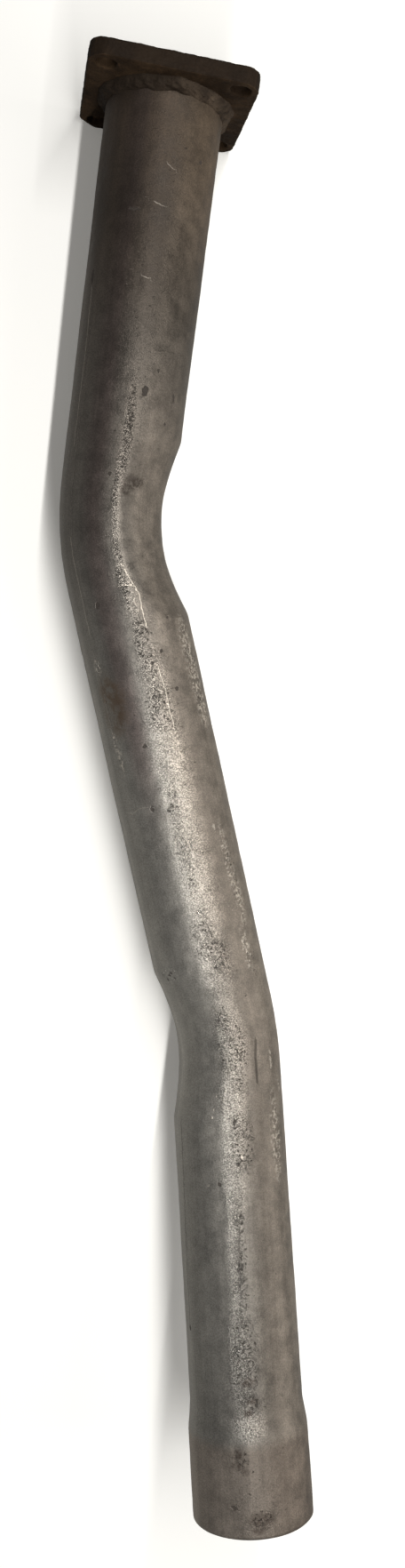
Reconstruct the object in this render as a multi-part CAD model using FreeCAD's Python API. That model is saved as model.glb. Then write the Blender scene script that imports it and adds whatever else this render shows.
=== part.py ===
"""Exhaust crossover pipe: a press-bent steel tube with a square bolted flange and a slip socket.

Millimetres. The origin is the middle of the flange's mating face, and that face looks along +Y.
The tube runs from the flange along -Y. Its first bend turns it to +X, its second bend turns it
part of the way back and lifts it. The pipe lies as it rests: the flange stands on its lower edge
and the underside of the middle run is level with that edge.
"""
import FreeCAD
import Part

import os
from math import acos, atan2, cos, pi, radians, sin, sqrt, tan

# Tube
TUBE_OUTER_DIAMETER = 63.5
TUBE_WALL = 1.65

# Route, along the centre line from corner to corner
FLANGE_RUN = 228.0
MIDDLE_RUN = 296.0
SOCKET_RUN = 262.0
MIDDLE_RUN_HEADING = radians(19.7)
SOCKET_RUN_HEADING = radians(8.7)
SOCKET_RUN_RISE = radians(12.5)

# Bends. The die flattens the inner side over a zone that is longer than the bend itself. The power
# and the softness say how fast the press sets in, and the roll turns the die's side about the tube
BEND_1_RADIUS = 150.0
BEND_1_ZONE_HALF_LENGTH = 54.0
BEND_1_PRESS_DEPTH = 6.3
BEND_1_CREST_RADIUS = 8.0
BEND_1_ONSET_POWER = 3.0
BEND_1_ONSET_SOFTNESS = 1.3
BEND_1_DIE_ROLL = radians(-2.0)
BEND_2_RADIUS = 110.0
BEND_2_ZONE_HALF_LENGTH = 46.0
BEND_2_PRESS_DEPTH = 6.0
BEND_2_CREST_RADIUS = 20.0
BEND_2_ONSET_POWER = 2.4
BEND_2_ONSET_SOFTNESS = 1.2
BEND_2_DIE_ROLL = radians(30.0)
STATIONS_PER_ZONE = 7
# Directions of the section's outline, from the inner side, where its flats begin and end
NOSE_END_ANGLE = radians(36.0)
CREST_END_ANGLE = radians(48.0)

# Socket that slips over the next tube
MATING_TUBE_DIAMETER = 63.5
SOCKET_CLEARANCE = 0.15
SOCKET_DEPTH = 62.0
SOCKET_TAPER_LENGTH = 18.0
RIM_CHAMFER = 0.4

# Flange
BOLT_PITCH = 70.0
BOLT_HOLE_DIAMETER = 11.0
METAL_OUTSIDE_HOLES = 4.25
FLANGE_THICKNESS = 9.0
FLANGE_CORNER_RADIUS = 7.0
FLANGE_EDGE_CHAMFER = 0.7
BOLT_HOLE_CHAMFER = 0.4
SEAT_CLEARANCE = 0.1
TUBE_SETBACK = 2.0

# Weld bead between the flange's pipe side and the tube
WELD_LEG_ON_FLANGE = 4.8
WELD_LEG_ON_TUBE = 5.2
WELD_CROWN = 0.7
WELD_RIPPLES = 9
WELD_RIPPLE_HEIGHT = 0.15
WELD_WANDER = 0.6
WELD_ROOT = 1.0
SECTIONS_PER_RIPPLE = 4

CUT_OVERRUN = 5.0
STEP_FOLDER = "parts"

TUBE_RADIUS = TUBE_OUTER_DIAMETER / 2
FLANGE_SIDE = BOLT_PITCH + BOLT_HOLE_DIAMETER + 2 * METAL_OUTSIDE_HOLES
SOCKET_RADIUS = MATING_TUBE_DIAMETER / 2 + SOCKET_CLEARANCE + TUBE_WALL
V = FreeCAD.Vector
X_AXIS = V(1, 0, 0)
Z_AXIS = V(0, 0, 1)


def flange_lean():
    """Angle by which the flange's axis dips, so that flange edge and middle run share one floor."""
    half = FLANGE_SIDE / 2
    far = sqrt(FLANGE_RUN**2 + half**2 - TUBE_RADIUS**2)
    return 2 * atan2(far - FLANGE_RUN, half + TUBE_RADIUS)


LEAN = flange_lean()
AXIS_1 = V(0, -cos(LEAN), -sin(LEAN))
AXIS_2 = V(sin(MIDDLE_RUN_HEADING), -cos(MIDDLE_RUN_HEADING), 0)
AXIS_3 = V(
    sin(SOCKET_RUN_HEADING) * cos(SOCKET_RUN_RISE),
    -cos(SOCKET_RUN_HEADING) * cos(SOCKET_RUN_RISE),
    sin(SOCKET_RUN_RISE),
)
PIPE_SIDE = AXIS_1 * FLANGE_THICKNESS
CORNER_1 = PIPE_SIDE + AXIS_1 * FLANGE_RUN
CORNER_2 = CORNER_1 + AXIS_2 * MIDDLE_RUN
RIM = CORNER_2 + AXIS_3 * SOCKET_RUN
TUBE_START = AXIS_1 * TUBE_SETBACK
SOCKET_START = RIM - AXIS_3 * (SOCKET_DEPTH + SOCKET_TAPER_LENGTH)


class Bend:
    """A rounded corner of the route, with the shape that the die leaves on its inner side."""

    def __init__(self, corner, axis_in, axis_out, radius, zone, depth, crest, onset, roll):
        self.corner = corner
        self.axis_in = axis_in
        self.axis_out = axis_out
        self.radius = radius
        self.zone = zone
        self.power, self.softness = onset
        self.roll = roll
        self.angle = acos(axis_in.dot(axis_out))
        self.normal = axis_in.cross(axis_out).normalize()
        self.crest = crest
        self.flat, self.nose = self.side_radii(depth, crest)

    def side_radii(self, depth, crest):
        """Radii of the flats and of the nose that join the crests at the pressed depth."""
        across = TUBE_RADIUS - depth - crest * cos(CREST_END_ANGLE)
        up = TUBE_RADIUS - crest * (1 - sin(CREST_END_ANGLE))
        flat_across = cos(NOSE_END_ANGLE) - cos(CREST_END_ANGLE)
        flat_up = sin(CREST_END_ANGLE) - sin(NOSE_END_ANGLE)
        nose_across = 1 - cos(NOSE_END_ANGLE)
        nose_up = sin(NOSE_END_ANGLE)
        scale = flat_across * nose_up - nose_across * flat_up
        flat = (across * nose_up - nose_across * up) / scale
        nose = (flat_across * up - flat_up * across) / scale
        return flat, nose

    def station(self, distance):
        """Centre and direction of the route at a distance from the middle of the bend."""
        half_arc = self.radius * self.angle / 2
        reach = self.radius * tan(self.angle / 2)
        if distance < -half_arc:
            return self.corner - self.axis_in * (reach - distance - half_arc), self.axis_in
        if distance > half_arc:
            return self.corner + self.axis_out * (reach + distance - half_arc), self.axis_out
        turned = (distance + half_arc) / self.radius
        inward = self.normal.cross(self.axis_in)
        start = self.corner - self.axis_in * reach
        centre = start + self.axis_in * (self.radius * sin(turned)) + inward * (self.radius * (1 - cos(turned)))
        return centre, self.axis_in * cos(turned) + inward * sin(turned)

    def section(self, distance, inset):
        """Outline of the tube at a station, moved in by the inset: six arcs that share their ends."""
        centre, along = self.station(distance)
        inward = self.normal.cross(along)
        die_side = inward * cos(self.roll) + self.normal * sin(self.roll)
        across_die = self.normal * cos(self.roll) - inward * sin(self.roll)
        amount = (1 - abs(distance / self.zone) ** self.power) ** self.softness
        crest, flat, nose = (TUBE_RADIUS + amount * (r - TUBE_RADIUS) for r in (self.crest, self.flat, self.nose))
        crest_middle = (0, TUBE_RADIUS - crest)
        flat_middle = shifted(crest_middle, CREST_END_ANGLE, crest - flat)
        nose_middle = shifted(flat_middle, NOSE_END_ANGLE, flat - nose)
        half = [
            (crest_middle, crest, pi / 2, CREST_END_ANGLE),
            (flat_middle, flat, CREST_END_ANGLE, NOSE_END_ANGLE),
        ]
        other_half = [((x, -y), r, -end, -start) for (x, y), r, start, end in reversed(half)]
        middle = [(nose_middle, nose, NOSE_END_ANGLE, -NOSE_END_ANGLE)]
        back = [((0, 0), TUBE_RADIUS, -pi / 2, -3 * pi / 2)]

        def place(point):
            return centre + die_side * point[0] + across_die * point[1]

        edges = []
        for arc_middle, radius, start, end in half + middle + other_half + back:
            points = [shifted(arc_middle, angle, radius - inset) for angle in (start, (start + end) / 2, end)]
            edges.append(Part.Arc(*(place(point) for point in points)).toShape())
        return Part.Wire(edges)

    def solid(self, inset):
        step = 2 * self.zone / (STATIONS_PER_ZONE - 1)
        sections = [self.section(-self.zone + i * step, inset) for i in range(STATIONS_PER_ZONE)]
        return Part.makeLoft(sections, True, False)


def shifted(point, angle, distance):
    return point[0] + distance * cos(angle), point[1] + distance * sin(angle)


BEND_1 = Bend(
    CORNER_1,
    AXIS_1,
    AXIS_2,
    BEND_1_RADIUS,
    BEND_1_ZONE_HALF_LENGTH,
    BEND_1_PRESS_DEPTH,
    BEND_1_CREST_RADIUS,
    (BEND_1_ONSET_POWER, BEND_1_ONSET_SOFTNESS),
    BEND_1_DIE_ROLL,
)
BEND_2 = Bend(
    CORNER_2,
    AXIS_2,
    AXIS_3,
    BEND_2_RADIUS,
    BEND_2_ZONE_HALF_LENGTH,
    BEND_2_PRESS_DEPTH,
    BEND_2_CREST_RADIUS,
    (BEND_2_ONSET_POWER, BEND_2_ONSET_SOFTNESS),
    BEND_2_DIE_ROLL,
)


def cylinder(radius, start, end):
    along = end - start
    return Part.makeCylinder(radius, along.Length, start, along)


def socket_solid(inset, overrun):
    """Expanded end, turned about the last run's axis from where the tube starts to widen."""
    narrow = TUBE_RADIUS - inset
    wide = SOCKET_RADIUS - inset
    mouth = SOCKET_TAPER_LENGTH + SOCKET_DEPTH + overrun
    taper = Part.BSplineCurve()
    taper.interpolate(
        Points=[V(narrow, 0, 0), V(wide, 0, SOCKET_TAPER_LENGTH)], InitialTangent=Z_AXIS, FinalTangent=Z_AXIS
    )
    corners = [V(wide, 0, SOCKET_TAPER_LENGTH), V(wide, 0, mouth), V(0, 0, mouth), V(0, 0, 0), V(narrow, 0, 0)]
    lines = [Part.makeLine(a, b) for a, b in zip(corners, corners[1:])]
    profile = Part.Face(Part.Wire([taper.toShape()] + lines))
    solid = profile.revolve(V(0, 0, 0), Z_AXIS, 360)
    solid.Placement = FreeCAD.Placement(SOCKET_START, FreeCAD.Rotation(Z_AXIS, AXIS_3))
    return solid


def tube_body(inset, overrun):
    """The whole tube as a solid bar, moved in by the inset and lengthened by the overrun at both ends."""
    radius = TUBE_RADIUS - inset
    runs = [
        (TUBE_START - AXIS_1 * overrun, BEND_1.station(-BEND_1.zone)[0]),
        (BEND_1.station(BEND_1.zone)[0], BEND_2.station(-BEND_2.zone)[0]),
        (BEND_2.station(BEND_2.zone)[0], SOCKET_START),
    ]
    pieces = [cylinder(radius, start, end) for start, end in runs]
    pieces += [BEND_1.solid(inset), BEND_2.solid(inset), socket_solid(inset, overrun)]
    return pieces[0].fuse(pieces[1:])


def crossover_tube():
    tube = tube_body(0, 0).cut(tube_body(TUBE_WALL, CUT_OVERRUN))
    rim_edges = [e for e in tube.Edges if all((v.Point - RIM).dot(AXIS_3) > -RIM_CHAMFER for v in e.Vertexes)]
    return tube.makeChamfer(RIM_CHAMFER, rim_edges)


def bolt_centres():
    half = BOLT_PITCH / 2
    return [V(x, y, 0) for x in (-half, half) for y in (-half, half)]


def mounting_flange():
    """Plate with rounded corners, drawn with its mating face on the plane z = 0, then stood up."""
    half = FLANGE_SIDE / 2
    plate = Part.makeBox(FLANGE_SIDE, FLANGE_SIDE, FLANGE_THICKNESS, V(-half, -half, 0))
    uprights = [e for e in plate.Edges if abs(e.tangentAt(e.FirstParameter).z) > 0.5]
    plate = plate.makeFillet(FLANGE_CORNER_RADIUS, uprights)
    rims = [e for e in plate.Edges if abs(e.tangentAt(e.FirstParameter).z) < 0.5]
    plate = plate.makeChamfer(FLANGE_EDGE_CHAMFER, rims)
    plate = plate.cut(Part.makeCylinder(TUBE_RADIUS + SEAT_CLEARANCE, FLANGE_THICKNESS))
    hole = BOLT_HOLE_DIAMETER / 2
    for centre in bolt_centres():
        plate = plate.cut(Part.makeCylinder(hole, FLANGE_THICKNESS, centre))
        for face, into in ((0, 1), (FLANGE_THICKNESS, -1)):
            lip = Part.makeCone(hole + BOLT_HOLE_CHAMFER, hole, BOLT_HOLE_CHAMFER, centre + Z_AXIS * face, Z_AXIS * into)
            plate = plate.cut(lip)
    plate.Placement = FreeCAD.Placement(V(0, 0, 0), FreeCAD.Rotation(Z_AXIS, AXIS_1))
    return plate


def bead_section(turn):
    """Cut through the weld bead at one direction around the tube, its root sunk into both pieces."""
    ripple = WELD_RIPPLE_HEIGHT * sin(WELD_RIPPLES * turn)
    wander = WELD_WANDER * (sin(2 * turn + 0.6) + sin(5 * turn)) / 2
    on_flange = WELD_LEG_ON_FLANGE + wander + ripple / 2
    on_tube = WELD_LEG_ON_TUBE - wander / 2 + ripple / 2
    outward = X_AXIS * cos(turn) + V(0, 1, 0) * sin(turn)

    def place(radial, axial):
        return outward * (TUBE_RADIUS + radial) + Z_AXIS * (FLANGE_THICKNESS + axial)

    slant = sqrt(on_flange**2 + on_tube**2)
    crown = WELD_CROWN + ripple
    root = place(-WELD_ROOT, -WELD_ROOT)
    flange_end = place(on_flange * (1 + WELD_ROOT / on_tube), -WELD_ROOT)
    tube_end = place(-WELD_ROOT, on_tube * (1 + WELD_ROOT / on_flange))
    top = place(on_flange / 2 + crown * on_tube / slant, on_tube / 2 + crown * on_flange / slant)
    legs = [Part.makeLine(flange_end, root), Part.makeLine(root, tube_end)]
    return Part.Wire(legs + [Part.Arc(tube_end, top, flange_end).toShape()])


def weld_bead():
    """Rippled ring around the tube, trimmed by the tube's skin and by the flange's pipe side."""
    count = WELD_RIPPLES * SECTIONS_PER_RIPPLE
    ring = Part.makeLoft([bead_section(2 * pi * i / count) for i in range(count)], True, False, True)
    reach = WELD_LEG_ON_TUBE + WELD_WANDER + CUT_OVERRUN
    ring = ring.cut(Part.makeCylinder(TUBE_RADIUS, FLANGE_THICKNESS + reach))
    ring = ring.cut(Part.makeCylinder(FLANGE_SIDE, FLANGE_THICKNESS))
    ring.Placement = FreeCAD.Placement(V(0, 0, 0), FreeCAD.Rotation(Z_AXIS, AXIS_1))
    return ring


os.makedirs(STEP_FOLDER, exist_ok=True)
for node in (crossover_tube, mounting_flange, weld_bead):
    node().exportStep(f"{STEP_FOLDER}/{node.__name__}.step")
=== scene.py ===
"""Looks of the exhaust crossover pipe: aged bent tube, rusty square flange, rippled weld bead.

Sizes are in millimetres until a mesh is made, and metres after that. The route and the pressed
bends repeat the sizes that the part's source has. Places on the tube are given as a length along
the centre line from the mating face, in millimetres, and a turn around it, in degrees from the
top towards +X.
"""

from math import acos, atan2, cos, pi, radians, sin, sqrt, tan

import bpy
import numpy as np
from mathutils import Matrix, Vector, noise


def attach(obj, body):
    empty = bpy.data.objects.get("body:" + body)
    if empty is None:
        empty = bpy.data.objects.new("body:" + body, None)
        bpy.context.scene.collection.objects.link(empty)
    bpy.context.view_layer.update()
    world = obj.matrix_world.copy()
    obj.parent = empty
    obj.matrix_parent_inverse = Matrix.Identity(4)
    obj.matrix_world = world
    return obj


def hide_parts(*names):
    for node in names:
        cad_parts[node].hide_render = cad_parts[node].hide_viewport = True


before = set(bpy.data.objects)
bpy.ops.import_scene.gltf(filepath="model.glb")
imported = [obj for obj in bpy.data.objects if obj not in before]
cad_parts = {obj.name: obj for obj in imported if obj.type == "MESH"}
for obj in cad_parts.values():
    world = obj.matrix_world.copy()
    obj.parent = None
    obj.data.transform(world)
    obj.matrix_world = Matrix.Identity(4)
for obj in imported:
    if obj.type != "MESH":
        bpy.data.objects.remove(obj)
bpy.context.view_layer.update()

MM = 0.001

# Sizes shared with the part's source
TUBE_RADIUS = 31.75
TUBE_WALL = 1.65
FLANGE_RUN = 228.0
MIDDLE_RUN = 296.0
SOCKET_RUN = 262.0
MIDDLE_RUN_HEADING = radians(19.7)
SOCKET_RUN_HEADING = radians(8.7)
SOCKET_RUN_RISE = radians(12.5)
SOCKET_RADIUS = 33.55
RIM_CHAMFER = 0.4
FLANGE_SIDE = 89.5
FLANGE_THICKNESS = 9.0
TUBE_SETBACK = 2.0
WELD_LEG_ON_FLANGE = 4.8
WELD_LEG_ON_TUBE = 5.2
NOSE_END_ANGLE = radians(36.0)
CREST_END_ANGLE = radians(48.0)

# Socket as the picture shows it, 18.5 mm shorter than in the part's source
SOCKET_DEPTH = 43.5
SOCKET_TAPER_LENGTH = 19.0

HALF_SIDE = FLANGE_SIDE / 2
LEAN = 2 * atan2(
    sqrt(FLANGE_RUN**2 + HALF_SIDE**2 - TUBE_RADIUS**2) - FLANGE_RUN,
    HALF_SIDE + TUBE_RADIUS,
)
UP = np.array([0.0, 0.0, 1.0])
AXIS_1 = np.array([0.0, -cos(LEAN), -sin(LEAN)])
AXIS_2 = np.array([sin(MIDDLE_RUN_HEADING), -cos(MIDDLE_RUN_HEADING), 0.0])
AXIS_3 = np.array(
    [
        sin(SOCKET_RUN_HEADING) * cos(SOCKET_RUN_RISE),
        -cos(SOCKET_RUN_HEADING) * cos(SOCKET_RUN_RISE),
        sin(SOCKET_RUN_RISE),
    ]
)
CORNER_1 = AXIS_1 * (FLANGE_THICKNESS + FLANGE_RUN)
CORNER_2 = CORNER_1 + AXIS_2 * MIDDLE_RUN
RIM = CORNER_2 + AXIS_3 * SOCKET_RUN
FLOOR_Z = -(HALF_SIDE * cos(LEAN) + FLANGE_THICKNESS * sin(LEAN))


# Route

POINTS_PER_ARC = 24


class Bend:
    """A rounded corner of the route and the shape that the die leaves on its inner side.

    The zone is half the length that the die presses. The onset is a power and a softness, which say
    how fast the press sets in, and the roll turns the die's side about the tube.
    """

    def __init__(self, corner, axis_in, axis_out, radius, zone, depth, crest, onset, roll):
        self.corner = corner
        self.axis_in = axis_in
        self.axis_out = axis_out
        self.radius = radius
        self.zone = zone
        self.power, self.softness = onset
        self.roll = roll
        self.middle = None
        self.angle = acos(float(axis_in @ axis_out))
        self.reach = radius * tan(self.angle / 2)
        self.crest = crest
        self.inward = axis_out - (axis_in @ axis_out) * axis_in
        self.inward /= np.linalg.norm(self.inward)
        self.normal = np.cross(axis_in, self.inward)
        across = TUBE_RADIUS - depth - crest * cos(CREST_END_ANGLE)
        up = TUBE_RADIUS - crest * (1 - sin(CREST_END_ANGLE))
        flat_across = cos(NOSE_END_ANGLE) - cos(CREST_END_ANGLE)
        flat_up = sin(CREST_END_ANGLE) - sin(NOSE_END_ANGLE)
        nose_across = 1 - cos(NOSE_END_ANGLE)
        nose_up = sin(NOSE_END_ANGLE)
        scale = flat_across * nose_up - nose_across * flat_up
        self.flat = (across * nose_up - nose_across * up) / scale
        self.nose = (flat_across * up - flat_up * across) / scale

    def outline(self, amount):
        """Polar outline of the section, from the nose round to the back: angles and radii."""
        full = np.array([self.crest, self.flat, self.nose])
        crest, flat, nose = TUBE_RADIUS + amount * (full - TUBE_RADIUS)
        middle = np.array([0.0, TUBE_RADIUS - crest])
        arcs = [(np.zeros(2), TUBE_RADIUS, pi, pi / 2), (middle.copy(), crest, pi / 2, CREST_END_ANGLE)]
        middle += (crest - flat) * np.array([cos(CREST_END_ANGLE), sin(CREST_END_ANGLE)])
        arcs.append((middle.copy(), flat, CREST_END_ANGLE, NOSE_END_ANGLE))
        middle += (flat - nose) * np.array([cos(NOSE_END_ANGLE), sin(NOSE_END_ANGLE)])
        arcs.append((middle.copy(), nose, NOSE_END_ANGLE, 0.0))
        turns, radii = [], []
        for centre, radius, start, end in arcs:
            for turn in np.linspace(start, end, POINTS_PER_ARC):
                point = centre + radius * np.array([cos(turn), sin(turn)])
                turns.append(atan2(point[1], point[0]))
                radii.append(float(np.linalg.norm(point)))
        order = np.argsort(turns)
        return np.array(turns)[order], np.array(radii)[order]


BEND_1 = Bend(
    CORNER_1,
    AXIS_1,
    AXIS_2,
    radius=150.0,
    zone=54.0,
    depth=6.3,
    crest=8.0,
    onset=(3.0, 1.3),
    roll=radians(-2.0),
)
BEND_2 = Bend(
    CORNER_2,
    AXIS_2,
    AXIS_3,
    radius=110.0,
    zone=46.0,
    depth=6.0,
    crest=20.0,
    onset=(2.4, 1.2),
    roll=radians(30.0),
)
BENDS = (BEND_1, BEND_2)


def route_legs():
    """Start length, start point, direction and bend (or None) of each leg, and the whole length.

    Each bend is told at what length its middle lies.
    """
    legs = []
    length = 0.0
    start = np.zeros(3)
    for bend in BENDS:
        end = bend.corner - bend.axis_in * bend.reach
        legs.append((length, start, bend.axis_in, None))
        length += float(np.linalg.norm(end - start))
        legs.append((length, end, bend.axis_in, bend))
        bend.middle = length + bend.radius * bend.angle / 2
        length += bend.radius * bend.angle
        start = bend.corner + bend.axis_out * bend.reach
    legs.append((length, start, AXIS_3, None))
    length += float(np.linalg.norm(RIM - start))
    return legs, length


LEGS, ROUTE_LENGTH = route_legs()


def centre_line(length):
    """Point and direction at a length from the middle of the mating face."""
    begin, start, axis, bend = [leg for leg in LEGS if leg[0] <= length + 1e-9 or leg[0] == 0][-1]
    along = length - begin
    if bend is None:
        return start + axis * along, axis
    turned = along / bend.radius
    point = start + bend.radius * (sin(turned) * axis + (1 - cos(turned)) * bend.inward)
    return point, cos(turned) * axis + sin(turned) * bend.inward


def section_axes(direction):
    """Right and up directions of a section; turns around the tube go from up towards right."""
    right = np.cross(UP, direction)
    right /= np.linalg.norm(right)
    return right, np.cross(direction, right)


def smooth(value):
    """0 below 0, 1 above 1, and an even curve between them."""
    value = np.clip(value, 0.0, 1.0)
    return value * value * (3 - 2 * value)


def base_radius(length, turns):
    """Outer radius at a length, for an array of turns, without wear."""
    for bend in BENDS:
        offset = length - bend.middle
        if abs(offset) < bend.zone:
            amount = (1 - abs(offset / bend.zone) ** bend.power) ** bend.softness
            _, direction = centre_line(length)
            right, up = section_axes(direction)
            inward = np.cross(bend.normal, direction)
            die_side = inward * cos(bend.roll) + bend.normal * sin(bend.roll)
            inner = atan2(float(die_side @ right), float(die_side @ up))
            angles, radii = bend.outline(amount)
            return np.interp(np.abs((turns - inner + pi) % (2 * pi) - pi), angles, radii)
    from_rim = ROUTE_LENGTH - length
    widened = smooth((SOCKET_DEPTH + SOCKET_TAPER_LENGTH - from_rim) / SOCKET_TAPER_LENGTH)
    return np.full(len(turns), TUBE_RADIUS + widened * (SOCKET_RADIUS - TUBE_RADIUS))


# Mesh helpers


def make_object(name, points, faces, material):
    mesh = bpy.data.meshes.new(name)
    mesh.from_pydata([tuple(p) for p in points], [], faces)
    mesh.update()
    obj = bpy.data.objects.new(name, mesh)
    bpy.context.collection.objects.link(obj)
    mesh.materials.append(material)
    mesh.shade_smooth()
    return obj


def ring_faces(rows, columns, closed=False):
    """Quads between neighbouring rings; with closed the last ring joins the first."""
    faces = []
    for i in range(rows if closed else rows - 1):
        for j in range(columns):
            a, b = i * columns + j, i * columns + (j + 1) % columns
            c, d = (b + columns) % (rows * columns), (a + columns) % (rows * columns)
            faces.append((d, c, b, a))
    return faces


def waves(along, around, count, shortest, longest, seed):
    """Smooth pseudo-random field over the tube, periodic around it, from about -1 to 1."""
    draw = np.random.default_rng(seed)
    field = np.zeros(np.broadcast(along, around).shape)
    for _ in range(count):
        size = shortest * (longest / shortest) ** draw.random()
        heading = draw.random() * 2 * pi
        turns = round(2 * pi * TUBE_RADIUS / size * sin(heading))
        rate = 2 * pi / size * cos(heading)
        field += np.sin(rate * along + turns * around + draw.random() * 2 * pi)
    return field / sqrt(count)


def across(around, turn):
    """Arc in millimetres from a turn, the short way round."""
    return ((around - radians(turn) + pi) % (2 * pi) - pi) * TUBE_RADIUS


def hill(along, around, at, turn, length, width):
    """Smooth hill of height 1 at a place on the tube, length and width in millimetres."""
    return np.exp(-(((along - at) / length) ** 2) - (across(around, turn) / width) ** 2)


# Nodes

# Places of a mix node's colour sockets
MIX_A = 6
MIX_B = 7
MIX_RESULT = 2


class Nodes:
    """Short calls for building a material's node tree."""

    def __init__(self, name):
        self.material = bpy.data.materials.new(name)
        self.material.use_nodes = True
        self.tree = self.material.node_tree
        self.tree.nodes.clear()

    def add(self, kind, **settings):
        node = self.tree.nodes.new(kind)
        for key, value in settings.items():
            setattr(node, key, value)
        return node

    def link(self, source, target):
        if isinstance(source, bpy.types.NodeSocket):
            self.tree.links.new(source, target)
        else:
            target.default_value = source

    def math(self, operation, a, b=0.0, clamp=False):
        node = self.add("ShaderNodeMath", operation=operation, use_clamp=clamp)
        self.link(a, node.inputs[0])
        self.link(b, node.inputs[1])
        return node.outputs[0]

    def product(self, first, *others):
        result = first
        for other in others:
            result = self.math("MULTIPLY", result, other)
        return result

    def strongest(self, first, *others):
        result = first
        for other in others:
            result = self.math("MAXIMUM", result, other)
        return result

    def vector(self, operation, a, b):
        node = self.add("ShaderNodeVectorMath", operation=operation)
        self.link(a, node.inputs[0])
        self.link(b, node.inputs[1])
        return node.outputs["Vector"]

    def mix(self, amount, a, b, blend="MIX"):
        node = self.add("ShaderNodeMix", data_type="RGBA", blend_type=blend)
        self.link(amount, node.inputs[0])
        self.link(a, node.inputs[MIX_A])
        self.link(b, node.inputs[MIX_B])
        return node.outputs[MIX_RESULT]

    def span(self, value, low, high, to_low=0.0, to_high=1.0):
        node = self.add("ShaderNodeMapRange", interpolation_type="SMOOTHSTEP")
        for item, socket in zip((value, low, high, to_low, to_high), node.inputs):
            self.link(item, socket)
        return node.outputs[0]

    def field(self, name):
        """Value that the mesh carries at its points."""
        return self.add("ShaderNodeAttribute", attribute_name=name).outputs["Fac"]

    def noise(self, place, scale, detail=4.0, rough=0.55, distortion=0.0):
        node = self.add("ShaderNodeTexNoise")
        self.link(place, node.inputs["Vector"])
        node.inputs["Scale"].default_value = scale
        node.inputs["Detail"].default_value = detail
        node.inputs["Roughness"].default_value = rough
        node.inputs["Distortion"].default_value = distortion
        return node.outputs["Fac"]

    def bump(self, height, distance, strength=1.0):
        node = self.add("ShaderNodeBump")
        node.inputs["Strength"].default_value = strength
        node.inputs["Distance"].default_value = distance
        self.link(height, node.inputs["Height"])
        return node.outputs["Normal"]

    def finish(self, colour, roughness, metallic, normal, specular=0.5):
        shader = self.add("ShaderNodeBsdfPrincipled")
        shader.inputs["Specular IOR Level"].default_value = specular
        self.link(colour, shader.inputs["Base Color"])
        self.link(roughness, shader.inputs["Roughness"])
        self.link(metallic, shader.inputs["Metallic"])
        self.link(normal, shader.inputs["Normal"])
        output = self.add("ShaderNodeOutputMaterial")
        self.link(shader.outputs[0], output.inputs["Surface"])
        return self.material


# Marks on the tube. A place is a length and a turn. A line is a row of places, and a patch is a
# place with half its length and half its width in millimetres

SCRATCHES = (
    ((257, -4.8), (263.5, -1.3), (271, 4.3), (275, 6.1), (282, 5.3), (293, 5.7)),
    ((316, 8.6), (323, 9.9), (328, 11), (334, 11), (340, 10.2), (345.5, 11.6), (350, 11.1)),
)
FAINT_SCRATCHES = (
    ((407, -2), (417.5, 1)),
    ((407, -9.4), (414.5, -14.6)),
    ((391, -61), (391.5, -53), (389, -43), (389, -33.5)),
    ((112, -62), (150, -60), (196, -61)),
    ((49.4, 5.0), (50.6, 9.0)),
    ((69.2, -2.0), (69.8, 2.0)),
    ((106.4, -6), (107.2, -1)),
    ((240, -58), (262, -56.5), (290, -57)),
)
BRANCHES = (((268.6, -6.7), (269.2, -0.5), (272.4, 3.9)),)
SIDE_SCRATCHES = (
    ((416, 40.4), (424.5, 40)),
    ((429, 37.8), (437, 37.7)),
    ((438, 40.4), (447, 41)),
    ((448.5, 48), (458, 49.2)),
    ((407, 31), (410, 31.6)),
    ((542, 44), (551.5, 44.8)),
    ((557.5, 56.8), (565, 60)),
)
CHIPS = (
    ((50, 6.7), 0.4, 0.5),
    ((106.9, -4), 0.5, 0.6),
    ((145.3, 1), 0.5, 1.0),
    ((510.7, 6.2), 0.6, 1.0),
    ((564.3, -22.2), 1.3, 0.4),
    ((572.3, -25.2), 1.1, 0.4),
    ((576, -27.4), 0.7, 0.6),
    ((598.1, 1.2), 1.3, 0.7),
    ((612.8, -35.4), 0.7, 0.7),
    ((738.3, -65.2), 0.7, 0.6),
    ((735.8, -30.8), 0.6, 0.6),
)
DARK_SPOTS = (
    ((164.3, 10.4), 2.9, 1.4),
    ((275.5, -38.5), 1.6, 1.0),
    ((289.5, 30.7), 0.9, 0.9),
    ((178, 36.9), 1.2, 0.8),
    ((164.8, 43.8), 4.0, 0.8),
    ((152.2, 20.9), 2.6, 0.5),
    ((209, -13.7), 1.2, 0.9),
    ((43.2, 39.2), 1.1, 1.2),
    ((46.9, 35), 1.0, 1.1),
    ((73.7, -22.5), 1.0, 3.0),
    ((107.4, -63.5), 6.0, 1.0),
    ((355.4, -21.6), 1.3, 1.6),
    ((377, -25.9), 1.0, 1.1),
    ((335.8, -4.3), 0.9, 0.9),
    ((307.2, 15.2), 1.0, 1.1),
    ((328.8, 22.9), 1.0, 1.1),
    ((393.4, -12.3), 1.0, 1.5),
    ((390.9, -28.6), 1.8, 1.8),
    ((544.5, -11.8), 1.0, 2.0),
    ((579, -4.3), 3.0, 0.8),
    ((612.2, -22.9), 1.2, 1.2),
    ((691.6, -74.9), 1.5, 1.2),
    ((778.3, -26.9), 0.8, 2.2),
)
DARK_LINES = (
    ((578, -68.2), (610, -70.8), (690, -75)),
    ((636, -6.4), (656.5, -8.8)),
    ((120, -57), (180, -55.5), (240, -55)),
    ((300, -56), (352, -55)),
)
GROOVE = ((533.3, 26.8), (544.1, 24.0), (558.7, 23.6))
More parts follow.
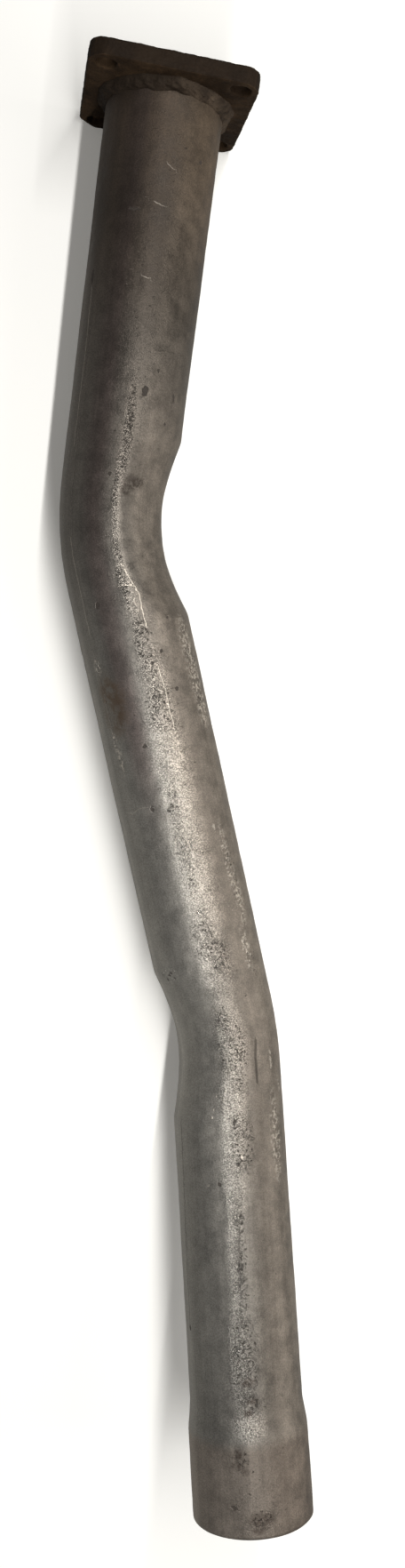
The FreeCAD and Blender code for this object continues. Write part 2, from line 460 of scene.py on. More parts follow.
PITTED = (
    ((186, -0.8), 26.0, 2.6),
    ((222, -7.4), 20.0, 1.6),
    ((262, -7.2), 24.0, 2.4),
    ((303, 0.0), 20.0, 6.0),
    ((338, 2.0), 14.0, 9.0),
    ((405, -6.0), 40.0, 3.5),
    ((463, -6.0), 9.0, 7.0),
    ((474, -8.0), 5.0, 10.0),
    ((479, 6.0), 12.0, 6.0),
    ((486, -54.0), 5.0, 7.0),
    ((488.5, 45.7), 8.0, 4.0),
    ((518, -6.0), 9.0, 5.0),
    ((545, 4.0), 26.0, 6.0),
    ((590, 3.0), 18.0, 7.0),
    ((650, -6.0), 40.0, 3.4),
    ((705, -8.0), 28.0, 7.0),
    ((727, -6.0), 7.0, 6.0),
    ((755, -19.0), 6.0, 5.0),
    ((778, -26.0), 2.0, 4.0),
    ((785, -3.0), 5.0, 6.0),
    ((323, 54.0), 30.0, 6.0),
    ((440, 44.0), 30.0, 4.0),
)
STAINS = (((330, -47), 15.0, 8.0),)
SMUDGES = (
    ((216.0, 3.5), 3.6, 2.6),
    ((212.5, 9.0), 3.8, 4.0),
    ((211.5, 18.0), 3.0, 4.0),
    ((716.0, -7.0), 1.8, 4.0),
    ((725.4, -4.0), 1.6, 3.2),
    ((731.5, -9.0), 1.8, 2.2),
    ((751.5, -20.5), 2.4, 1.8),
    ((757.5, -21.5), 1.8, 2.8),
    ((760.5, -14.5), 1.5, 1.8),
    ((784.4, -2.0), 3.4, 6.2),
    ((790.0, -6.0), 1.8, 3.0),
)
# Rubbed crest, laid along the line of the highlight: its lower roughness is real rubbing, and its brighter
# speckled colour is a painted highlight with painted glints
RUBBED_AND_HIGHLIT = (
    ((190, -2.0), 26.0, 2.6),
    ((222, -6.5), 24.0, 1.7),
    ((256, -8.0), 24.0, 1.7),
    ((290, -2.5), 22.0, 2.6),
    ((326, 3.5), 22.0, 6.0),
    ((370, 2.0), 34.0, 9.0),
    ((430, 1.0), 40.0, 9.0),
    ((480, 1.0), 24.0, 8.0),
    ((528, 0.0), 22.0, 8.0),
    ((570, -4.0), 26.0, 7.0),
    ((610, -9.0), 26.0, 5.5),
    ((660, -12.0), 34.0, 4.0),
    ((706, -14.0), 28.0, 5.0),
    ((738, -9.0), 7.0, 8.0),
)
FLAKED = (
    ((308.0, -56.0), 4.5, 2.2),
    ((351.0, -56.0), 5.0, 1.6),
    ((361.0, -53.0), 8.0, 1.4),
    ((305, 50.5), 14.0, 5.0),
    ((323, 54.0), 16.0, 6.0),
    ((341, 57.0), 12.0, 6.0),
    ((589.5, 45.0), 22.0, 4.0),
    ((428.0, 40.0), 18.0, 2.6),
    ((451.0, 46.0), 16.0, 3.0),
    ((480.0, 40.0), 12.0, 3.0),
)

# Share of the plain steel's brightness along the tube, left of its ridge, on it and right of it:
# partly the steel's own tone, partly painted light and shade with a painted highlight on the ridge
TONE_LENGTHS = (0, 70, 120, 190, 240, 300, 340, 440, 500, 540, 600, 700, 795)
LEFT_TONE = (0.22, 0.18, 0.44, 0.56, 0.62, 0.95, 1.12, 1.22, 1.35, 1.35, 1.20, 1.05, 0.95)
CREST_TONE = (0.25, 0.17, 0.22, 0.40, 0.60, 0.72, 0.95, 1.0, 0.68, 1.0, 0.72, 0.52, 0.42)
RIGHT_TONE = (0.32, 0.44, 0.44, 0.72, 0.88, 1.0, 1.02, 1.12, 1.15, 1.0, 0.95, 0.95, 0.75)

# Turn of the ridge, along which the painted highlight is brightest, and how deep the painted shade
# just right of it is
RIDGE_LENGTHS = (0, 200, 262, 300, 340, 560, 650, 795)
RIDGE_TURNS = (0, -3, -8, 0, 3, 0, -10, -14)
DIP_LENGTHS = (0, 170, 200, 280, 340, 600, 650, 712, 735, 795)
DIP_DEPTHS = (0.25, 0.22, 0.08, 0.0, 0.22, 0.36, 0.44, 0.50, 0.48, 0.25)

# Where one tone gives way to the next, in millimetres right of the ridge
CREST_BEGINS = -14.0
CREST_BLEND = 12.0
RIGHT_BEGINS = 5.0
RIGHT_BLEND = 10.0
# Middle and width of the painted shade right of the ridge
DIP_MIDDLE = 14.0
DIP_WIDTH = 8.0

# The far left is lighter again beyond this turn: a painted reflection of the pale floor
FAR_LEFT_TURN = -62.0
FAR_LEFT_REFLECTION_GAIN = 0.3
FAR_LEFT_BLEND = 6.0

# Painted light patches, one of them a painted highlight: place, length, width and gain
PAINTED_LIGHT_PATCHES = (((250, 16), 28, 8, 0.3), ((739, -7), 7, 7, 0.25))

# Distance from every mark to begin with, and how far past its ends a line has faded out
FAR_AWAY = 9.0
LINE_END_FADE = 1.5


def patch_distance(along, around, patches):
    """Distance from the nearest oval patch's middle, 1 at its edge."""
    nearest = np.full(along.shape, FAR_AWAY)
    for (length, turn), half_length, half_width in patches:
        away = np.hypot((along - length) / half_length, across(around, turn) / half_width)
        nearest = np.minimum(nearest, away)
    return nearest


def line_distance(along, around, lines):
    """Signed distance in millimetres from the nearest line, and 1 beside a line, 0 past its ends."""
    nearest = np.full(along.shape, FAR_AWAY)
    beside = np.zeros(along.shape)
    for line in lines:
        for (s0, t0), (s1, t1) in zip(line, line[1:]):
            span = np.array([s1 - s0, radians(t1 - t0) * TUBE_RADIUS])
            span_length = float(np.hypot(*span))
            forward, sideways = along - s0, across(around, t0)
            ahead = (forward * span[0] + sideways * span[1]) / span_length
            side = (sideways * span[0] - forward * span[1]) / span_length
            past = np.maximum(np.maximum(-ahead, ahead - span_length), 0.0)
            closer = np.hypot(side, past) < np.abs(nearest)
            signed = np.where(side < 0, -1.0, 1.0) * np.hypot(side, past)
            nearest = np.where(closer, signed, nearest)
            share = np.clip(LINE_END_FADE - past, 0.0, 1.0)
            beside = np.maximum(beside, np.where(closer | (past == 0), share, 0.0))
    return nearest, beside


def tube_tone_and_painted_light(along, around):
    """Brightness over the tube: partly the steel's own tone and partly painted light and shade."""
    tones = (LEFT_TONE, CREST_TONE, RIGHT_TONE)
    left, crest, right = (np.interp(along, TONE_LENGTHS, tone_with_painted_light) for tone_with_painted_light in tones)
    ridge = np.interp(along, RIDGE_LENGTHS, RIDGE_TURNS)
    beside = across(around, 0.0) - np.radians(ridge) * TUBE_RADIUS
    tone_with_painted_light = left + (crest - left) * smooth((beside - CREST_BEGINS) / CREST_BLEND)
    tone_with_painted_light += (right - crest) * smooth((beside - RIGHT_BEGINS) / RIGHT_BLEND)
    # Painted reflection of the pale floor on the far left
    tone_with_painted_light *= 1 + FAR_LEFT_REFLECTION_GAIN * smooth(-across(around, FAR_LEFT_TURN) / FAR_LEFT_BLEND - 0.5)
    # Painted shade just right of the ridge
    dip_shade = np.interp(along, DIP_LENGTHS, DIP_DEPTHS)
    tone_with_painted_light *= 1 - dip_shade * np.exp(-(((beside - DIP_MIDDLE) / DIP_WIDTH) ** 2))
    # Painted light patches
    for (length, turn), half_length, half_width, gain in PAINTED_LIGHT_PATCHES:
        tone_with_painted_light += gain * hill(along, around, length, turn, half_length, half_width)
    return tone_with_painted_light


def tube_marks(along, around):
    """Named fields over the tube's skin, from which its material draws marks, tones and painted light."""
    marks = {"tone_with_painted_light": tube_tone_and_painted_light(along, around)}
    for name, patches, reach in (
        ("rubbed_and_highlit", RUBBED_AND_HIGHLIT, 1.6),
        ("pitted", PITTED, 1.5),
        ("flaked", FLAKED, 1.5),
        ("stained", STAINS, 1.6),
        ("smudged", SMUDGES, 1.6),
    ):
        marks[name] = smooth(reach - patch_distance(along, around, patches))
    marks["spots"] = patch_distance(along, around, DARK_SPOTS)
    marks["chips"] = patch_distance(along, around, CHIPS)
    for name, lines in (
        ("scratch", SCRATCHES + BRANCHES),
        ("faint", FAINT_SCRATCHES),
        ("scrape", SIDE_SCRATCHES),
        ("seam", DARK_LINES),
        ("groove", (GROOVE,)),
    ):
        marks[name], marks[name + "_beside"] = line_distance(along, around, lines)
    return marks


# Materials. Lengths and arcs on the tube's skin are in metres here, and arcs are + to the right

LEFT_SCALE = (0.276, 0.262, 0.236, 1)
LEFT_SCALE_TOWARD_FLANGE = (0.290, 0.232, 0.188, 1)
LEFT_SCALE_AT_FLANGE = (0.283, 0.200, 0.140, 1)
RIGHT_SCALE = (0.305, 0.262, 0.217, 1)
RIGHT_SCALE_AT_FLANGE = (0.330, 0.240, 0.162, 1)
SOCKET_SCALE = (0.285, 0.225, 0.180, 1)
PLUM = (0.200, 0.142, 0.132, 1)
STAIN = (0.150, 0.098, 0.060, 1)
SMUDGE = (0.055, 0.043, 0.035, 1)
PIT = (0.035, 0.027, 0.021, 1)
BARE_STEEL = (0.78, 0.70, 0.60, 1)
SOOT = (0.012, 0.011, 0.010, 1)
PALE_SOOT = (0.05, 0.038, 0.03, 1)
DARK_RUST = (0.024, 0.0140, 0.0075, 1)
RUST = (0.056, 0.034, 0.018, 1)
RUST_FLOWER = (0.082, 0.048, 0.025, 1)
RUST_GRAIN = (0.010, 0.008, 0.006, 1)
EDGE_SOOT = (0.013, 0.0085, 0.0055, 1)
DARK_BEAD = (0.036, 0.025, 0.017, 1)
PALE_BEAD = (0.100, 0.073, 0.051, 1)
BEAD_GRAIN = (0.014, 0.011, 0.009, 1)
# Painted shade on the bead's left side
BEAD_LEFT_SHADE = (0.022, 0.015, 0.010, 1)


class TubeSkin(Nodes):
    """Textures, masks and channels that the tube's material is mixed from."""

    def __init__(self):
        super().__init__("aged_tube_steel")
        place = self.add("ShaderNodeTexCoord").outputs["Object"]
        skin = self.add("ShaderNodeUVMap", uv_map="along_and_around").outputs["UV"]
        parts = self.add("ShaderNodeSeparateXYZ")
        self.link(skin, parts.inputs[0])
        self.along, self.around = parts.outputs[0], parts.outputs[1]

        # Clouds, grain, streaks drawn out along the tube and the wander of every mark's edge
        self.cloud = self.noise(place, 20.0, 4.0, 0.6)
        self.mottle = self.noise(place, 110.0, 5.0, 0.65)
        self.fine = self.noise(place, 480.0, 4.0, 0.7)
        self.grain = self.noise(place, 1400.0, 3.0, 0.75)
        self.flecks = self.noise(place, 640.0, 3.0, 0.6, 0.6)
        self.curls = self.noise(place, 300.0, 2.0, 0.5, 1.6)
        self.streak = self.noise(self.vector("MULTIPLY", skin, (14.0, 420.0, 1.0)), 1.0, 3.0, 0.6)
        self.drawn = self.noise(self.vector("MULTIPLY", skin, (7.0, 90.0, 1.0)), 1.0, 3.0, 0.55)
        self.wander = self.span(self.noise(place, 300.0, 3.0, 0.6), 0.2, 0.8, -0.6, 0.6)

        # Regions
        self.near_flange = self.span(self.along, 0.02, 0.15, 1.0, 0.0)
        self.at_socket = self.span(self.along, 0.744, 0.752)
        self.rubbed_and_highlit = self.field("rubbed_and_highlit")
        upper = self.product(
            self.span(self.around, -0.022, -0.012), self.span(self.around, 0.012, 0.024, 1.0, 0.0)
        )
        self.zone = self.math("MAXIMUM", self.field("pitted"), self.product(upper, 0.35))

    def line_mask(self, name, half_width, wander):
        """1 on the lines of a field, 0 away from them."""
        away = self.math("ABSOLUTE", self.math("ADD", self.field(name), wander))
        on_line = self.span(away, half_width * 0.5, half_width, 1.0, 0.0)
        return self.product(on_line, self.field(name + "_beside"))

    def scale_colour(self):
        """Dark brown near the flange, warm grey further on, plum on the left, browner at the socket."""
        right_side = self.span(self.around, -0.012, 0.016)
        toward_flange = self.span(self.along, 0.06, 0.36, 0.6, 0.0)
        left = self.mix(toward_flange, LEFT_SCALE, LEFT_SCALE_TOWARD_FLANGE)
        grey = self.mix(right_side, left, RIGHT_SCALE)
        brown = self.mix(right_side, LEFT_SCALE_AT_FLANGE, RIGHT_SCALE_AT_FLANGE)
        colour = self.mix(self.near_flange, grey, brown)
        colour = self.mix(self.product(self.at_socket, 0.5), colour, SOCKET_SCALE)
        plum = self.product(
            self.span(self.around, -0.026, -0.017),
            self.span(self.around, -0.015, -0.006, 1.0, 0.0),
            self.span(self.along, 0.33, 0.42, 0.55, 0.0),
            self.span(self.drawn, 0.35, 0.60, 0.7, 1.0),
        )
        return self.mix(plum, colour, PLUM)

    def brightness(self):
        """Tone with painted light and shade, uneven at several sizes, and painted glints where rubbed."""
        patchy = self.span(self.around, -0.014, -0.002, 0.45, 1.0)
        patches = self.product(self.span(self.mottle, 0.3, 0.7, -0.22, 0.24), patchy)
        # Painted glints: speckles that brighten the colour of the rubbed crest
        painted_glint = self.product(self.rubbed_and_highlit, self.span(self.grain, 0.42, 0.62, -0.29, 0.72))
        # The tone field holds painted light and shade as well as the steel's own tone
        return self.product(
            self.field("tone_with_painted_light"),
            self.math("ADD", patches, 1.0),
            self.span(self.drawn, 0.3, 0.7, 0.93, 1.07),
            self.span(self.cloud, 0.3, 0.7, 0.95, 1.05),
            self.span(self.streak, 0.3, 0.7, 0.94, 1.06),
            self.span(self.grain, 0.35, 0.65, 0.80, 1.20),
            self.math("ADD", painted_glint, 1.0),
        )

    def dark_marks(self):
        """Pits, curled cracks, dark spots, dark lines and the groove."""
        threshold = self.math("SUBTRACT", 0.74, self.product(self.zone, 0.15))
        pit = self.span(self.math("SUBTRACT", self.flecks, threshold), 0.0, 0.035)
        curl = self.math("ABSOLUTE", self.math("SUBTRACT", self.curls, 0.5))
        crack = self.product(
            self.span(curl, 0.005, 0.026, 1.0, 0.0),
            self.span(self.flecks, 0.45, 0.54),
            self.span(self.zone, 0.3, 0.85, 0.0, 0.8),
        )
        spots = self.span(self.math("ADD", self.field("spots"), self.wander), 0.8, 1.15, 1.0, 0.0)
        seam = self.product(self.line_mask("seam", 0.5, self.wander), 0.5)
        groove = self.product(self.line_mask("groove", 1.1, 0.0), 0.7)
        return self.strongest(pit, crack, spots, seam, groove)

    def bare_marks(self):
        """Scratches, chips and flaked patches."""
        thin = self.product(self.wander, 0.5)
        broken = self.span(self.fine, 0.46, 0.58, 0.0, 0.8)
        bare = self.strongest(
            self.product(self.field("flaked"), self.span(self.fine, 0.50, 0.56, 0.0, 0.95)),
            self.product(self.line_mask("scratch", 0.34, thin), 0.9),
            self.product(self.line_mask("faint", 0.3, thin), 0.35),
            self.product(self.line_mask("scrape", 1.5, self.wander), broken),
            self.span(self.math("ADD", self.field("chips"), self.wander), 0.7, 1.1, 0.8, 0.0),
        )
        return self.product(bare, self.span(self.flecks, 0.35, 0.5, 0.4, 1.0))

    def dullness(self, dark):
        """Roughness: duller near the flange, on the socket and in the dark marks."""
        rough = self.span(self.mottle, 0.3, 0.7, 0.38, 0.50)
        rough = self.math("SUBTRACT", rough, self.product(self.rubbed_and_highlit, 0.13))
        rough = self.math("ADD", rough, self.product(self.at_socket, 0.08))
        rough = self.math("ADD", rough, self.product(self.near_flange, 0.12))
        return self.math("ADD", rough, self.product(dark, 0.3), clamp=True)

    def relief(self, dark, bare):
        """Height of the grain, deeper where the steel is rubbed or pitted, and of the marks."""
        grit = self.math("ADD", self.product(self.rubbed_and_highlit, 0.5), 0.3)
        height = self.product(self.grain, self.math("ADD", grit, self.product(self.zone, 0.3)))
        height = self.math("ADD", height, self.product(self.fine, 0.5))
        height = self.math("SUBTRACT", height, self.product(dark, 0.9))
        return self.math("ADD", height, self.product(bare, 0.3))


def tube_material():
    """Old exhaust steel: brown-grey scale, rubbed metal, stains, pits, fine scratches, painted light and
    shade.
    """
    n = TubeSkin()
    dark = n.dark_marks()
    bare = n.bare_marks()
    colour = n.mix(1.0, n.scale_colour(), n.brightness(), "MULTIPLY")
    colour = n.mix(n.product(n.field("stained"), n.span(n.mottle, 0.4, 0.6, 0.25, 0.8)), colour, STAIN)
    colour = n.mix(n.product(n.field("smudged"), n.span(n.fine, 0.35, 0.6, 0.25, 0.9)), colour, SMUDGE)
    colour = n.mix(n.product(dark, 0.85), colour, PIT)
    colour = n.mix(bare, colour, BARE_STEEL)
    metallic = n.span(n.near_flange, 0.0, 1.0, 0.85, 0.5)
    metallic = n.math("SUBTRACT", metallic, n.product(dark, 0.6), clamp=True)
    return n.finish(colour, n.dullness(dark), metallic, n.bump(n.relief(dark, bare), 0.00032))


def soot_material():
    """The tube's inside and its hidden start."""
    n = Nodes("soot_inside")
    place = n.add("ShaderNodeTexCoord").outputs["Object"]
    colour = n.mix(n.span(n.noise(place, 70.0, 5.0, 0.65), 0.35, 0.65), SOOT, PALE_SOOT)
    return n.finish(colour, 0.85, 0.1, n.bump(n.noise(place, 500.0, 4.0, 0.7), 0.0006, 0.7))


def flange_material():
    """Dark rust with thin brown flowering, and soot on the plate's outer border."""
    n = Nodes("rusted_flange_steel")
    place = n.add("ShaderNodeTexCoord").outputs["Object"]
    cloud = n.noise(place, 45.0, 6.0, 0.62)
    mottle = n.noise(place, 190.0, 5.0, 0.65)
    grain = n.noise(place, 700.0, 5.0, 0.7)
    colour = n.mix(n.span(cloud, 0.38, 0.62), DARK_RUST, RUST)
    colour = n.mix(n.span(mottle, 0.5, 0.72, 0.0, 0.6), colour, RUST_FLOWER)
    colour = n.mix(n.span(grain, 0.56, 0.72, 0.0, 0.8), colour, RUST_GRAIN)
    colour = n.mix(n.field("edge_soot"), colour, EDGE_SOOT)
    height = n.math("ADD", n.product(mottle, 0.8), n.product(grain, 0.5))
    rough = n.span(grain, 0.3, 0.7, 0.62, 0.85)
    return n.finish(colour, rough, 0.05, n.bump(height, 0.0007, 0.9), 0.12)


def weld_material():
    """Weld metal under scale, with painted shade darkening it towards its left."""
    n = Nodes("weld_metal")
    place = n.add("ShaderNodeTexCoord").outputs["Object"]
    cloud = n.noise(place, 80.0, 5.0, 0.6)
    grain = n.noise(place, 800.0, 4.0, 0.7)
    colour = n.mix(n.span(cloud, 0.35, 0.65), DARK_BEAD, PALE_BEAD)
    colour = n.mix(n.span(grain, 0.56, 0.7, 0.0, 0.8), colour, BEAD_GRAIN)
    sideways = n.add("ShaderNodeSeparateXYZ")
    n.link(place, sideways.inputs[0])
    # Painted shade towards the bead's left
    colour = n.mix(n.span(sideways.outputs[0], -0.014, 0.024, 0.85, 0.0), colour, BEAD_LEFT_SHADE)
    rough = n.span(cloud, 0.3, 0.7, 0.62, 0.8)
    return n.finish(colour, rough, 0.12, n.bump(grain, 0.0006, 0.9), 0.12)


# Tube

TUBE_ROWS = 540
BORE_ROWS = 110
TUBE_COLUMNS = 144

# How far the columns crowd towards the tube's top
CROWDING = 0.35

# Wave sets: height in millimetres, number of waves, shortest, longest and seed
WAVINESS = ((0.10, 24, 30.0, 120.0, 3), (0.045, 24, 7.0, 20.0, 4))
RIPPLE = (0.14, 40, 2.6, 7.0, 5)

# Where the ripple shows on the crest: place, length and width
RIPPLED = (((185, -1.0), 26, 3.0), ((262, -7.0), 26, 3.0), ((480, 4.0), 20, 9.0))

# Dents, and the lip beside the groove: place, length, width and height
DENTS = (
    ((214, 8.0), 6, 6, -0.35),
    ((546, 24.5), 12, 1.8, -0.45),
    ((546, 20.0), 16, 2.6, 0.20),
    ((164.3, 10.4), 2.4, 1.4, -0.30),
    ((579, -4.3), 3.0, 1.6, -0.25),
)


def wave_set(along, around, height, count, shortest, longest, seed):
    return height * waves(along, around, count, shortest, longest, seed)


def wear(along, around):
    """Height of dents, press marks and waviness in millimetres, for arrays of length and turn."""
    height = sum(wave_set(along, around, *wave) for wave in WAVINESS)
    share = sum(hill(along, around, *place, length, width) for place, length, width in RIPPLED)
    height += wave_set(along, around, *RIPPLE) * share
    for place, length, width, dent in DENTS:
        height += dent * hill(along, around, *place, length, width)
    return height


def skin_points(stations, turns, radius):
    points = np.empty((len(stations), len(turns), 3))
    for i, length in enumerate(stations):
        centre, direction = centre_line(length)
        right, up = section_axes(direction)
        ring = np.outer(np.cos(turns), up) + np.outer(np.sin(turns), right)
        points[i] = centre + ring * radius[i][:, None]
    return points


def build_tube(material, inside):
    """Outer skin, rim and bore in one closed mesh, finer on top where the picture looks."""
    spread = np.linspace(-pi, pi, TUBE_COLUMNS + 1)[:-1]
    turns = spread - CROWDING * np.sin(spread)
    stations = np.linspace(TUBE_SETBACK, ROUTE_LENGTH - RIM_CHAMFER, TUBE_ROWS)
    along, around = np.meshgrid(stations, turns, indexing="ij")
    outer_radius = np.array([base_radius(s, turns) for s in stations]) + wear(along, around)
    rim_radius = outer_radius[-1:] - RIM_CHAMFER
    back = np.linspace(ROUTE_LENGTH, TUBE_SETBACK, BORE_ROWS)
    inner_radius = np.array([base_radius(s, turns) - TUBE_WALL for s in back])
    inner_radius[0] += RIM_CHAMFER
    lengths = np.concatenate([stations, [ROUTE_LENGTH], back])
    radius = np.concatenate([outer_radius, rim_radius, inner_radius])
    points = skin_points(lengths, turns, radius).reshape(-1, 3) * MM
    obj = make_object("tube_skin", points, ring_faces(len(lengths), TUBE_COLUMNS, True), material)
    obj.data.materials.append(inside)
    slots = np.zeros(len(obj.data.polygons), dtype=int)
    slots[(TUBE_ROWS + 2) * TUBE_COLUMNS :] = 1
    obj.data.polygons.foreach_set("material_index", slots)
    paint_uv(obj, lengths, turns)
    for name, values in tube_marks(*np.meshgrid(lengths, turns, indexing="ij")).items():
        obj.data.attributes.new(name, "FLOAT", "POINT").data.foreach_set("value", values.ravel())
    return obj


def paint_uv(obj, lengths, turns):
    """Length and arc in metres as texture coordinates; the seam is unwrapped face by face."""
    mesh = obj.data
    along, around = np.meshgrid(lengths * MM, turns * TUBE_RADIUS * MM, indexing="ij")
    coordinates = np.stack([along.ravel(), around.ravel()], axis=1)
    corners = np.empty(len(mesh.loops), dtype=int)
    mesh.loops.foreach_get("vertex_index", corners)
    uv = coordinates[corners].reshape(-1, 4, 2)
    girth = 2 * pi * TUBE_RADIUS * MM
    low = uv[:, :, 1].max(axis=1, keepdims=True) - uv[:, :, 1] > girth / 2
    uv[:, :, 1] += low * girth
    mesh.uv_layers.new(name="along_and_around").data.foreach_set("uv", uv.ravel())


# Flange and weld


def flange_frame(points):
    """From the flange's own axes (x sideways, y up the plate, z towards the pipe) to the part's."""
    right, up = section_axes(AXIS_1)
    return points[:, :1] * right + points[:, 1:2] * up + points[:, 2:] * AXIS_1


WORN_CORNER_CUT = 7.0
WORN_CORNER_RADIUS = 11.5
VOXEL = 0.7

# Lumps of scale, sunk a little under the solid's skin, and the border of the port that has none
SCALE_SIZE = 5.0
SCALE_HEIGHT = 0.22
SCALE_LOSS = 0.10
PORT_BORDER = 1.5

# Soot on the plate's rim and on the border of its mating face; the pipe side keeps little of it
SOOT_STRENGTH = 0.8
SOOT_BORDER = 3.0
SOOT_BORDER_BLEND = 1.5
SOOT_PAST_FACE = 0.2
SOOT_FACE_BLEND = 0.8


def even_mesh(source):
    """Evenly meshed copy of a solid's mesh."""
    copy = bpy.data.objects.new("flange_copy", source.data.copy())
    copy.matrix_world = source.matrix_world.copy()
    bpy.context.collection.objects.link(copy)
    remesh = copy.modifiers.new("even_mesh", "REMESH")
    remesh.mode = "VOXEL"
    remesh.voxel_size = VOXEL * MM * 1
    evaluated = copy.evaluated_get(bpy.context.evaluated_depsgraph_get())
    mesh = bpy.data.meshes.new_from_object(evaluated)
    bpy.data.objects.remove(copy)
    return mesh


def vectors(elements, key):
    values = np.empty(len(elements) * 3)
    elements.foreach_get(key, values)
    return values.reshape(-1, 3)


def corner_wear(own):
    """Shift sideways and up the plate that rounds its corners and cuts the lower left one."""
    past = np.abs(own[:, :2]) - (HALF_SIDE - WORN_CORNER_RADIUS)
    from_corner = np.hypot(past[:, 0], past[:, 1])
    in_corner = (past.min(axis=1) > 0) & (from_corner > WORN_CORNER_RADIUS)
    pull = np.where(in_corner, 1 - WORN_CORNER_RADIUS / np.maximum(from_corner, 1.0), 0.0)
    shift = -np.sign(own[:, :2]) * past * pull[:, None]
    beyond = (-own[:, 0] - own[:, 1]) / sqrt(2) - (FLANGE_SIDE / sqrt(2) - WORN_CORNER_CUT)
    return shift + np.maximum(beyond, 0.0)[:, None] / sqrt(2)


def build_flange(material):
    """Evenly meshed copy of the plate with a scaled skin, soft edges and a worn lower corner."""
    mesh = even_mesh(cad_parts["mounting_flange"])
    points = vectors(mesh.vertices, "co") / MM
    normals = vectors(mesh.vertex_normals, "vector")
    right, up = section_axes(AXIS_1)
    own = np.stack([points @ right, points @ up, points @ AXIS_1], axis=1)
    scale = [SCALE_HEIGHT * noise.fractal(Vector(p / SCALE_SIZE), 0.6, 2.0, 4) - SCALE_LOSS for p in points]
    on_port = np.hypot(own[:, 0], own[:, 1]) < TUBE_RADIUS + PORT_BORDER
    points += normals * np.where(on_port, 0.0, scale)[:, None]
    shift = corner_wear(own)
    points += shift[:, :1] * right + shift[:, 1:] * up
    mesh.vertices.foreach_set("co", (points * MM).ravel())
    below_face = (FLANGE_THICKNESS + SOOT_PAST_FACE - own[:, 2]) / SOOT_FACE_BLEND
    in_border = (np.abs(own[:, :2]).max(axis=1) - HALF_SIDE + SOOT_BORDER) / SOOT_BORDER_BLEND
    edge_soot = SOOT_STRENGTH * smooth(below_face) * smooth(in_border)
    mesh.attributes.new("edge_soot", "FLOAT", "POINT").data.foreach_set("value", edge_soot)
    mesh.materials.clear()
    mesh.materials.append(material)
    mesh.shade_smooth()
    mesh.update()
    obj = bpy.data.objects.new("flange_plate", mesh)
    bpy.context.collection.objects.link(obj)
    return obj


WELD_COLUMNS = 360
WELD_ROWS = 26
WELD_CROWN = 0.9
WELD_RIPPLES = 34
WELD_RIPPLE_HEIGHT = 0.26
WELD_RIPPLE_BOW = 2.4
WELD_FACE_LENGTH = 8.0
LUMPS = (0.75, 18, 6.0, 36.0, 11)
LUMP_SHARE = 0.6
ROUGHNESS = (0.24, 36, 1.8, 6.0, 12)
TOE_WANDER = (0.3, 10, 4.0, 12.0, 13)
BULGE_HEIGHT = 1.2
BULGE_TURN = radians(68)
BULGE_WIDTH = 0.25

# The bead's edges run this far into the tube and the plate
WELD_SUNK = 0.3


def build_weld(material):
    """Hand-laid bead: uneven legs, overlapping ripples and a few lumps."""
    turns = np.linspace(-pi, pi, WELD_COLUMNS + 1)[:-1]
    share, around = np.meshgrid(np.linspace(0.0, 1.0, WELD_ROWS), turns, indexing="ij")
    arch = np.sin(pi * share)
    ripple = WELD_RIPPLE_HEIGHT * np.sin(WELD_RIPPLES * around + WELD_RIPPLE_BOW * arch) * arch
    lump = wave_set(0.0, around, *LUMPS)
    rough = wave_set(share * WELD_FACE_LENGTH, around, *ROUGHNESS)
    crown = (WELD_CROWN + ripple + rough + LUMP_SHARE * lump) * arch**0.8
    bulge = BULGE_HEIGHT * np.exp(-(((around - BULGE_TURN) / BULGE_WIDTH) ** 2))
    on_flange = WELD_LEG_ON_FLANGE + lump + bulge
    on_tube = WELD_LEG_ON_TUBE - LUMP_SHARE * lump + wave_set(0.0, around, *TOE_WANDER)
    slant = np.sqrt(on_flange**2 + on_tube**2)
    radial = on_flange * (1 - share) + crown * on_tube / slant
    axial = on_tube * share + crown * on_flange / slant
    radial[-1] = -WELD_SUNK
    axial[0] = -WELD_SUNK
    outer = TUBE_RADIUS + radial
    points = np.stack([outer * np.sin(around), outer * np.cos(around), FLANGE_THICKNESS + axial], axis=-1)
    points = flange_frame(points.reshape(-1, 3)) * MM
    return make_object("weld_run", points, ring_faces(WELD_ROWS, WELD_COLUMNS), material)


# Floor, light and camera, in metres unless said otherwise

FLOOR_SIZE = 6.0
FLOOR_MIDDLE = (0.0, -0.35)
FLOOR_COLOUR_FOR_CAMERA = (1.0, 1.0, 0.98, 1)
FLOOR_COLOUR_FOR_PART = (0.36, 0.36, 0.35, 1)
FLOOR_GLOW = (1.0, 0.96, 0.88, 1)
FLOOR_GLOW_FOR_CAMERA = 0.14


def build_stage():
    """Pale floor, seen brighter by the camera than by the steel, that keeps the part's shadow."""
    bpy.ops.mesh.primitive_plane_add(size=FLOOR_SIZE, location=(*FLOOR_MIDDLE, FLOOR_Z * MM))
    floor = bpy.context.object
    floor.name = "floor"
    n = Nodes("pale_floor")
    seen = n.add("ShaderNodeLightPath").outputs["Is Camera Ray"]
    diffuse = n.add("ShaderNodeBsdfDiffuse")
    colour = n.mix(seen, FLOOR_COLOUR_FOR_PART, FLOOR_COLOUR_FOR_CAMERA)
    n.link(colour, diffuse.inputs["Color"])
    glow = n.add("ShaderNodeEmission")
    glow.inputs["Color"].default_value = FLOOR_GLOW
    n.link(n.product(seen, FLOOR_GLOW_FOR_CAMERA), glow.inputs["Strength"])
    both = n.add("ShaderNodeAddShader")
    n.link(diffuse.outputs[0], both.inputs[0])
    n.link(glow.outputs[0], both.inputs[1])
    output = n.add("ShaderNodeOutputMaterial")
    n.link(both.outputs[0], output.inputs["Surface"])
    floor.data.materials.append(n.material)


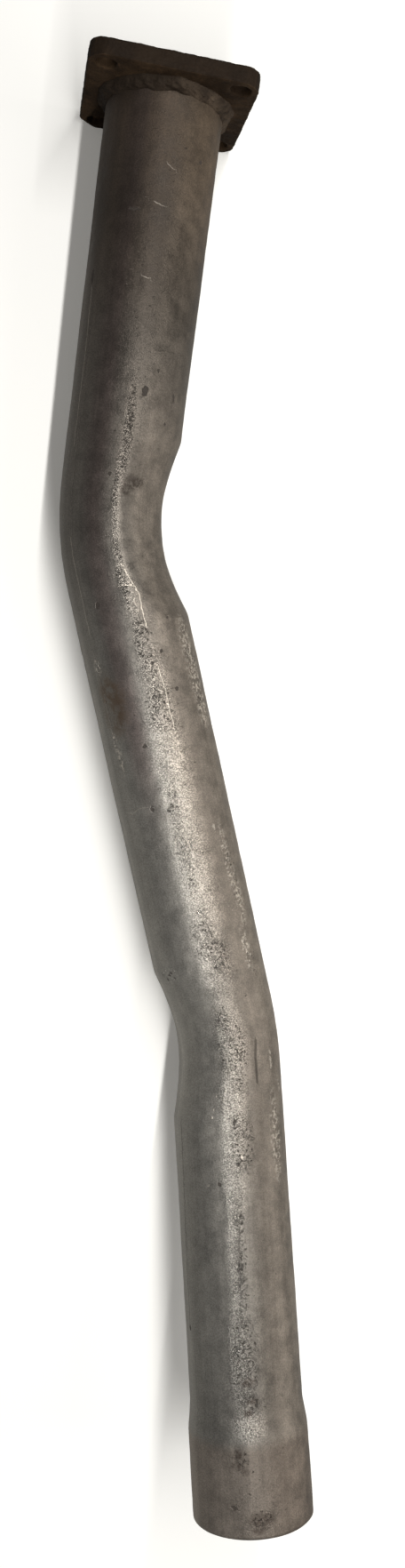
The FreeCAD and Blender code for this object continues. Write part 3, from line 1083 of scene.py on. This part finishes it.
LAMP_COLOUR = (1.0, 0.985, 0.96)
TUBE_LAMP_PLACE = (0.137, -0.38, 0.72)
TUBE_LAMP_TARGET = (0.137, -0.38, 0.0)
TUBE_LAMP_SIZE = (0.028, 1.5)
TUBE_LAMP_WATTS = 7.5
SOFT_LIGHT_PLACE = (1.5, -0.4, 0.9)
SOFT_LIGHT_TARGET = (0.07, -0.4, 0.0)
SOFT_LIGHT_SIZE = (1.0, 1.6)
SOFT_LIGHT_WATTS = 8.0
ROOM_STRENGTH = 0.16


def area_light(name, location, target, size, watts):
    data = bpy.data.lights.new(name, "AREA")
    data.shape = "RECTANGLE"
    data.size, data.size_y = size
    data.energy = watts
    data.color = LAMP_COLOUR
    obj = bpy.data.objects.new(name, data)
    bpy.context.collection.objects.link(obj)
    obj.location = location
    obj.rotation_euler = (Vector(target) - Vector(location)).to_track_quat("-Z", "Y").to_euler()


def build_lights():
    """A tube lamp over the part, a soft light from the right and a weak room."""
    area_light("lamp_above", TUBE_LAMP_PLACE, TUBE_LAMP_TARGET, TUBE_LAMP_SIZE, TUBE_LAMP_WATTS)
    area_light("soft_right", SOFT_LIGHT_PLACE, SOFT_LIGHT_TARGET, SOFT_LIGHT_SIZE, SOFT_LIGHT_WATTS)
    world = bpy.data.worlds.new("studio")
    bpy.context.scene.world = world
    world.use_nodes = True
    background = world.node_tree.nodes["Background"]
    background.inputs["Color"].default_value = (1.0, 1.0, 1.0, 1)
    background.inputs["Strength"].default_value = ROOM_STRENGTH


# Camera of the picture: place, lens and sensor in millimetres, turns in degrees
CAMERA_PLACE = (-50.9, -336.15, 665.65)
CAMERA_TURN = (-4.245, -8.434, 7.148)
CAMERA_LENS = 27.48
CAMERA_SENSOR = 36.0
CAMERA_SHIFT = (0.01503, 0.00159)
NEAREST_SEEN = 0.01


def build_camera():
    data = bpy.data.cameras.new("camera")
    camera = bpy.data.objects.new("camera", data)
    bpy.context.collection.objects.link(camera)
    camera.location = [v * MM for v in CAMERA_PLACE]
    camera.rotation_euler = [radians(v) for v in CAMERA_TURN]
    data.sensor_width = CAMERA_SENSOR
    data.lens = CAMERA_LENS
    data.shift_x, data.shift_y = CAMERA_SHIFT
    data.clip_start = NEAREST_SEEN
    bpy.context.scene.camera = camera


def dress(obj, node):
    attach(obj, "root")
    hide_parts(node)


bpy.context.scene.view_settings.view_transform = "Standard"
dress(build_tube(tube_material(), soot_material()), "crossover_tube")
dress(build_flange(flange_material()), "mounting_flange")
dress(build_weld(weld_material()), "weld_bead")
build_stage()
build_lights()
build_camera()
